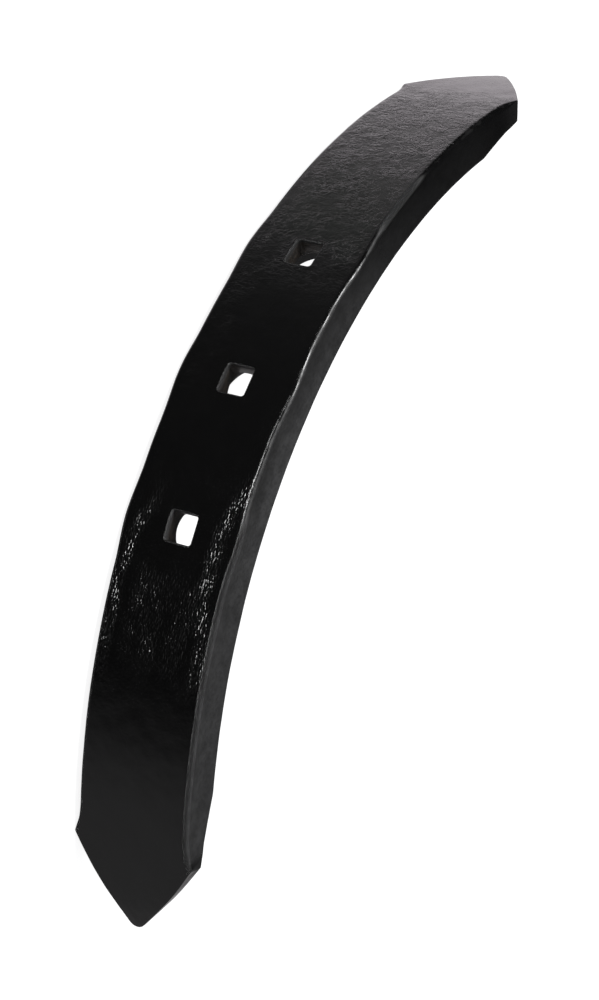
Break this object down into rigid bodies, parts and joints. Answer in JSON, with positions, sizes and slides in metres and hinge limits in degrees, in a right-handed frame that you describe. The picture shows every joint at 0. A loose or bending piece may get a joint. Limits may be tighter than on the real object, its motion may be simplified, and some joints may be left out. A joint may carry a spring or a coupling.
{
  "type": "seed drill coulter",
  "caption": "Curved flat steel bar, forged to a thinned point at each end, with a row of square countersunk bolt holes along its middle; bolted to a tine, it opens the furrow for the seed.",
  "frame": {"origin": "centre of the bounding box in plan, at the height of the side edge the bar lies on", "axes": "+X along the chord of the bend from tip to tip, +Y from the rounded-out face to the hollow face, +Z across the width of the bar, upright"},
  "size_m": [0.3934, 0.0946, 0.0547],
  "materials": {
    "paint": "thin gloss black dip paint over forged steel, thin to bare in the square holes"
  },
  "bodies": {
    "root": {"coulter": "paint"}
  },
  "joints": []
}
